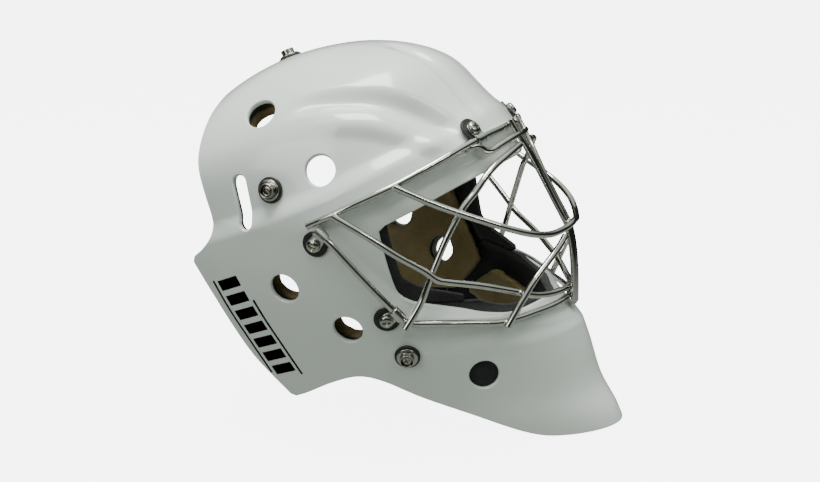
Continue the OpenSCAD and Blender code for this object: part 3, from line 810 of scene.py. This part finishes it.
# ---- the cage --------------------------------------------------------------------------------------
# Routes of the wires' centre lines, on the wearer's left or from the mid-plane to it
TOP_RIM = [
    (0, -76.5, 95.5), (15, -75.5, 95), (30, -72.5, 94), (45, -69, 92.5), (61, -63.5, 89.5), (87, -48, 79.5),
    (104, -30, 68.7), (115.5, -10.5, 58.8), (121.5, 6.5, 50), (123, 24.5, 41),
]
LOWER_RIM = [
    (0, -125, -27.5), (12, -123, -28), (25, -117.5, -29), (38, -109.5, -30), (50, -101.5, -31),
    (65, -91, -31), (79.5, -75, -28.5), (91, -58, -27), (98.5, -43, -26.5), (101.5, -37, -25),
    (104, -33, -20.5), (111, -21, -5), (119, -1, 19.5), (122, 8.5, 31), (123, 18, 39),
]
BROW_WIRE = [
    (0, -86, 90), (18, -83.5, 89), (32, -79, 86), (40, -75.5, 83.5), (46, -72.5, 84.5), (52, -68.5, 88),
    (58, -62.5, 87),
]
CENTRE_WIRE = [
    (8.5, -78.9, 100.5), (7.5, -85, 90.5), (5.5, -91.6, 80), (3.6, -98.6, 67.5),
    (2.8, -105.3, 55.5), (2.6, -112.4, 43), (2.6, -118.3, 33), (2.6, -122.9, 24), (2.6, -126.6, 8),
    (2.6, -128.8, -13), (2.6, -129.6, -32.5),
]
UPPER_WIRE = [
    (0, -126.2, 29), (8, -126, 28.6), (20, -123.5, 27.5), (38, -118.5, 28), (56, -110.5, 32),
    (70, -98.5, 38), (81, -82.5, 45), (95.5, -55, 56.5), (109, -31, 69.5),
]
MIDDLE_WIRE = [
    (0, -125, -20), (11, -123, -20), (25, -117, -19.5), (38.5, -110, -17), (50, -101.5, -12.5),
    (73, -80.5, -3), (90.5, -63, 3), (96, -57, 5.5), (100.5, -49.5, 12), (111, -34, 24), (120, -16, 38),
    (126.5, 5, 51),
]
EYE_WIRE = [
    (14, -88.5, 84), (26, -87, 82), (39, -84.5, 79), (50, -81, 75), (59, -77.5, 69), (67, -73, 60),
    (76, -67, 50), (86, -60, 32), (93, -52.5, 9), (98, -46, -12), (106, -38, -29),
]
NOSE_WIRE = [
    (5.5, -121.5, 18.5), (14, -120.5, 14.5), (27.5, -117.5, 8.5), (44, -111, -2.5), (53, -105.5, -14.5),
    (60, -100, -27), (63.5, -97, -34),
]


def flipped(route):
    return [(-x, y, z) for x, y, z in route]


def whole(route):
    return flipped(route[:0:-1]) + list(route)


def bands(rings, sides, start=0):
    """Faces that join rings of points, each with the next."""
    faces = []
    for k in range(rings - 1):
        for j in range(sides):
            a, b = start + k * sides + j, start + k * sides + (j + 1) % sides
            faces.append((a, b, b + sides, a + sides))
    return faces


def tube(line, radius, sides=20, cap=0.5):
    """Points, normals and faces of a round wire whose cut ends are slightly rounded."""
    line = np.asarray(line, float)
    t = unit(np.gradient(line, axis=0))
    u = unit(np.cross(t[0], [0.21, 0.17, 1]))
    spin = np.linspace(0, 2 * math.pi, sides, endpoint=False)
    stations = [(0, 0.0, 0.0, -1), (0, 0.0, radius - cap, -1), (0, cap * 0.3, radius - cap * 0.3, -0.7)]
    stations += [(i, cap if i == 0 else 0.0, radius, 0) for i in range(len(line) - 1)]
    last = len(line) - 1
    stations += [
        (last, -cap, radius, 0), (last, -cap * 0.3, radius - cap * 0.3, 0.7),
        (last, 0, radius - cap, 1), (last, 0, 0, 1),
    ]
    frames = [u]
    for k in range(1, len(line)):
        u = unit(u - (u @ t[k]) * t[k])
        frames.append(u)
    points, normals = [], []
    for i, shift, r, lean in stations:
        u, w = frames[i], np.cross(t[i], frames[i])
        ring = np.cos(spin)[:, None] * u + np.sin(spin)[:, None] * w
        points.append(line[i] + t[i] * shift + ring * r)
        normals.append(unit(ring * (1 - abs(lean)) + t[i] * lean))
    return np.concatenate(points), np.concatenate(normals), bands(len(stations), sides)


def wire(name, route, node):
    points, normals, faces = tube(spline(route, 12), WIRE_D / 2)
    finish_piece(mesh_object(name, points, faces, normals), WIRE, "wire", node)


for name, route, node in (
    ("cage_top_rim_wire", TOP_RIM, "cage_top_rim"), ("cage_lower_rim_wire", LOWER_RIM, "cage_lower_rim"),
    ("cage_second_brow_wire", BROW_WIRE, "cage_brow_wire"),
    ("cage_upper_loop", UPPER_WIRE, "cage_upper_wire"), ("cage_middle_loop", MIDDLE_WIRE, "cage_middle_wire"),
):
    wire(name, whole(route), node)
for word, route in (("centre", CENTRE_WIRE), ("eye", EYE_WIRE), ("nose", NOSE_WIRE)):
    wire(f"cage_{word}_wire_right_piece", flipped(route), f"cage_{word}_wire_right")
    wire(f"cage_{word}_wire_left_piece", route, f"cage_{word}_wire_left")


# ---- fasteners ----------------------------------------------------------------------------------------
def lathe(profile, sides=48):
    """Points and faces of a turned piece from its profile of (radius, height), first and last on the axis."""
    profile = np.array(profile, float)
    spin = np.linspace(0, 2 * math.pi, sides, endpoint=False)
    points = [(0, 0, profile[0, 1])]
    for r, z in profile[1:-1]:
        points += [(r * math.cos(s), r * math.sin(s), z) for s in spin]
    points.append((0, 0, profile[-1, 1]))
    rings = len(profile) - 2
    faces = [(0, 1 + (j + 1) % sides, 1 + j) for j in range(sides)] + bands(rings, sides, 1)
    top = 1 + (rings - 1) * sides
    faces += [(top + j, top + (j + 1) % sides, len(points) - 1) for j in range(sides)]
    return np.array(points, float), faces


def split_edges(obj, degrees):
    """Keeps edges sharper than this crisp in the shading."""
    sharp = obj.modifiers.new("edges", "EDGE_SPLIT")
    sharp.split_angle = math.radians(degrees)
    apply(obj)
    return obj


def rounded(corners, n=4):
    """A profile whose corners (r, z, radius) are rounded."""
    out = []
    for i, (r, z, fillet) in enumerate(corners):
        p = np.array([r, z], float)
        if fillet <= 0:
            out.append(p)
            continue
        a, b = np.array(corners[i - 1][:2], float) - p, np.array(corners[i + 1][:2], float) - p
        reach = min(fillet, 0.49 * np.linalg.norm(a), 0.49 * np.linalg.norm(b))
        a, b = p + unit(a) * reach, p + unit(b) * reach
        for s in np.linspace(0, 1, n + 1):
            out.append((1 - s) ** 2 * a + 2 * s * (1 - s) * p + s**2 * b)
    return out


def turned(name, corners):
    return mesh_object(name, *lathe(rounded(corners)))


def cut_cross(obj, width, length, floor_z):
    """Cuts a tapered cross recess for a driver."""
    for k in (0, 90):
        points = []
        faces = [(0, 3, 2, 1), (4, 5, 6, 7), (0, 1, 5, 4), (1, 2, 6, 5), (2, 3, 7, 6), (3, 0, 4, 7)]
        for z, share in ((floor_z, 0.55), (floor_z + 4, 1.6)):
            across, reach = width / 2 * (0.75 if share < 1 else 1.3), length / 2 * share
            points += [(-reach, -across, z), (reach, -across, z), (reach, across, z), (-reach, across, z)]
        blade = mesh_object("blade", points, faces)
        blade.rotation_euler.z = math.radians(k)
        cut = obj.modifiers.new("cross", "BOOLEAN")
        cut.object, cut.solver = blade, "EXACT"
        bpy.context.view_layer.update()
        apply(obj)
        bpy.data.objects.remove(blade)


def copies(name, pattern, places):
    """One object made of copies of pattern, each moved by a matrix in millimetres."""
    points, faces, start = [], [], 0
    co = points_of(pattern) / MM
    polygons = [tuple(p.vertices) for p in pattern.data.polygons]
    for m in places:
        points.append(co @ m[:3, :3].T + m[:3, 3])
        flip = np.linalg.det(m[:3, :3]) < 0
        for polygon in polygons:
            face = tuple(i + start for i in polygon)
            faces.append(face[::-1] if flip else face)
        start += len(co)
    return split_edges(mesh_object(name, np.concatenate(points), faces), 38)


def nearest(line, p):
    return int(np.linalg.norm(line - p, axis=1).argmin())


def clip_frame(place, side):
    """Frame of a clip, +X toward the rim wire, with the wire's distance and height."""
    line = spline(TOP_RIM if place == BROW_CLIP else LOWER_RIM, 16)
    foot = skin(*spot(place))
    i = nearest(line, foot)
    t = unit(line[min(i + 1, len(line) - 1)] - line[max(i - 1, 0)])
    n = skin_normal(*spot(place), 0, 0.7, 0.006)
    n = unit(n - (n @ t) * t)
    reach = line[i] - foot
    reach = reach - (reach @ t) * t
    x = unit(reach - (reach @ n) * n)
    return mirrored(framed(x, np.cross(n, x), n, foot), side), float(reach @ x), float(reach @ n)


# A clip's sheet and width, its gap to the wire, the radius of its tab and of the bend beside it
CLIP_T, CLIP_W, CLIP_GAP, TAB_R, CLIP_BEND = 1.2, 9, 0.25, 5, 1.2


def clip_strip(name, place, side, node):
    """A stainless strip: a round tab under the screw, carried up and curled over the rim wire."""
    m, gap, height = clip_frame(place, side)
    r = WIRE_D / 2 + CLIP_GAP + CLIP_T / 2
    z = STUD_Z + CLIP_T / 2
    tab = [(s, z) for s in np.linspace(-TAB_R, gap - r - CLIP_BEND, 14)]
    rise = [(gap - r, z + CLIP_BEND + k) for k in np.arange(0, max(height - z - CLIP_BEND, 0.1), 0.6)]
    curl = [(gap + r * math.cos(q), height + r * math.sin(q)) for q in np.radians(np.arange(180, -62, -9))]
    line = np.array(tab + [(gap - r - 0.5, z + 0.15), (gap - r - 0.12, z + 0.5)] + rise + curl, float)
    t = unit(np.gradient(line, axis=0))
    up = np.stack([-t[:, 1], t[:, 0]], 1)
    # the sheet's width along its line: a round end, then straight
    half = np.where(
        line[:, 0] < 3.9, np.sqrt(np.maximum(TAB_R**2 - np.minimum(line[:, 0], 0) ** 2, 0)), CLIP_W / 2
    )
    on_tab = (line[:, 0] > 0) & (line[:, 0] < 6) & (np.arange(len(line)) < len(tab))
    half = np.maximum(np.where(on_tab, TAB_R + (CLIP_W / 2 - TAB_R) * ease(line[:, 0] / 5), half), 0.4)
    points, h, bevel = [], CLIP_T / 2, 0.25
    for place_on_line, outward, w in zip(line, up, half):
        for y, out in (
            (-w + bevel, -h), (w - bevel, -h), (w, -h + bevel), (w, h - bevel),
            (w - bevel, h), (-w + bevel, h), (-w, h - bevel), (-w, -h + bevel),
        ):
            x, z = place_on_line + outward * out
            points.append((x, y, z))
    n = 8
    faces = bands(len(line), n) + [tuple(range(n))[::-1], tuple(len(points) - n + k for k in range(n))]
    points = np.array(points) @ m[:3, :3].T + m[:3, 3]
    if side == LEFT:
        faces = [f[::-1] for f in faces]
    return finish_piece(split_edges(mesh_object(name, points, faces), 30), STRIP, "clip", node)


clip_places, stud_places = [], [stand_on_crown()]
for side, word in ((RIGHT, "right"), (LEFT, "left")):
    for place, label in ((BROW_CLIP, "brow"), (TEMPLE_CLIP, "temple"), (JAW_CLIP, "jaw")):
        clip_strip(f"{label}_clip_{word}_strip", place, side, f"{label}_clip_{word}")
        clip_places.append(clip_frame(place, side)[0])
    stud_places += [stand(REAR_STUD, side), stand(JAW_STUD, side)]

washer_r = WASHER_D / 2
washer = turned("washer_pattern", [
    (0, 0, 0), (washer_r, 0, 0.3), (washer_r, WASHER_T, 0.9), (washer_r - 2.2, WASHER_T, 0.3),
    (0, WASHER_T, 0),
])
for name, places in (("clip_washers", clip_places), ("stud_washers", stud_places)):
    seated = copies(name + "_moulded", washer, [shifted(m, SEAT) for m in places])
    finish_piece(seated, RUBBER, "washer", name)

head_r, head_h = SCREW_D * 0.95, SCREW_D * 0.6
screw = turned("screw_pattern", [
    (0, 0, 0), (head_r, 0, 0.2), (head_r, head_h * 0.45, 0.4), (head_r * 0.84, head_h * 0.8, 0.6),
    (head_r * 0.5, head_h, 0.5), (0, head_h, 0),
])
cut_cross(screw, 1.25, head_r * 1.25, head_h - 1.7)
screw_turns = [20, 65, 33, 50, 12, 78]
finish_piece(
    copies("clip_screw_heads", screw, [
        shifted(m, STUD_Z + CLIP_T + 0.05, angle) for m, angle in zip(clip_places, screw_turns)
    ]), HEAD, "screw", "clip_screws",
)

post_r = POST_D / 2
stud = turned("stud_pattern", [
    (0, 0, 0), (7.4, 0, 0.25), (7.4, 0.9, 0.4), (6.3, 1.4, 0.4), (post_r, 1.4, 0.25),
    (post_r, 1.3 + POST_H, 0.6), (post_r - 0.8, 1.3 + POST_H, 0.25), (post_r - 0.8, 1.6, 0.2), (0, 1.6, 0),
])
stud_names = ("top_stud", "rear_stud_right", "jaw_stud_right", "rear_stud_left", "jaw_stud_left")
for name, m in zip(stud_names, stud_places):
    finish_piece(copies(name + "_turned", stud, [shifted(m, STUD_Z)]), HEAD, "stud", name)
stud_screw = turned("stud_screw_pattern", [
    (0, 0, 0), (post_r - 1.1, 0, 0.2), (post_r - 1.1, 1.5, 0.5), (post_r - 2.2, 2.5, 0.6), (0, 2.6, 0)
])
cut_cross(stud_screw, 1.1, 5.0, 1.2)
stud_turns = [10, 35, 62, 48, 20]
finish_piece(
    copies("stud_screw_heads", stud_screw, [
        shifted(m, STUD_Z + 1.65, angle) for m, angle in zip(stud_places, stud_turns)
    ]), HEAD, "screw", "stud_screws",
)
for pattern in (washer, screw, stud, stud_screw):
    bpy.data.objects.remove(pattern)
for node in ("clip_tee_nuts", "stud_tee_nuts"):
    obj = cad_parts[node]
    obj.data.materials.clear()
    obj.data.materials.append(ZINC)

# ---- floor, light and camera -----------------------------------------------------------------------------
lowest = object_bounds()[0].z
REACH, FLOOR_GAP = 20000, 1
corners = [(-REACH, -REACH, 0), (REACH, -REACH, 0), (REACH, REACH, 0), (-REACH, REACH, 0)]
floor = mesh_object("floor", corners, [range(4)])
floor.location.z = lowest - FLOOR_GAP * MM
floor.data.materials.append(floor_paper())
floor.visible_diffuse = floor.visible_glossy = False

# Grey below, dark at eye level and bright above, so that polished metal shows dark streaks beside bright ones
world = bpy.data.worlds.new("studio")
bpy.context.scene.world = world
world.use_nodes = True
tree = world.node_tree
place = tree.nodes.new("ShaderNodeTexCoord")
split = tree.nodes.new("ShaderNodeSeparateXYZ")
height = tree.nodes.new("ShaderNodeMapRange")
height.inputs["From Min"].default_value = -1
sky = tree.nodes.new("ShaderNodeValToRGB")
tree.links.new(place.outputs["Generated"], split.inputs[0])
tree.links.new(split.outputs["Z"], height.inputs["Value"])
tree.links.new(height.outputs["Result"], sky.inputs["Fac"])
tree.links.new(sky.outputs["Color"], tree.nodes["Background"].inputs["Color"])
ramp = sky.color_ramp
SKY = ((0.0, 0.45), (0.34, 0.4), (0.42, 0.02), (0.66, 0.03), (0.74, 0.5), (1.0, 1.45))
while len(ramp.elements) < len(SKY):
    ramp.elements.new(0.5)
for element, (at, shade) in zip(ramp.elements, SKY):
    element.position = at
    element.color = (shade * 0.88, shade, shade * 0.89, 1)


def area_light(name, place, target, size, power, height=None):
    """A soft box that faces target. Places are in metres."""
    data = bpy.data.lights.new(name, "AREA")
    data.shape, data.size, data.size_y, data.energy = "RECTANGLE", size, height or size, power
    lamp = bpy.data.objects.new(name, data)
    lamp.location = place
    lamp.rotation_euler = (Vector(target) - Vector(place)).to_track_quat("-Z", "Y").to_euler()
    bpy.context.scene.collection.objects.link(lamp)


area_light("top_box", (-0.1, 0.1, 1.9), (0, 0, 0), 1.1, 56)
area_light("front_tube", (-0.55, -1.5, 1.3), (0, 0, 0.05), 0.9, 4, height=0.1)
area_light("side_box", (-1.5, 0.5, 0.6), (0, 0, -0.03), 0.7, 5)

FOCAL_PX, IMAGE_WIDTH, SENSOR = 1000, 820, 36
CAMERA = Vector((-0.6866, -0.2700, 0.2170))
data = bpy.data.cameras.new("camera")
data.sensor_width, data.lens = SENSOR, SENSOR * FOCAL_PX / IMAGE_WIDTH
camera = bpy.data.objects.new("camera", data)
camera.location = CAMERA
camera.rotation_euler = (-CAMERA).to_track_quat("-Z", "Y").to_euler()
bpy.context.scene.collection.objects.link(camera)
bpy.context.scene.camera = camera
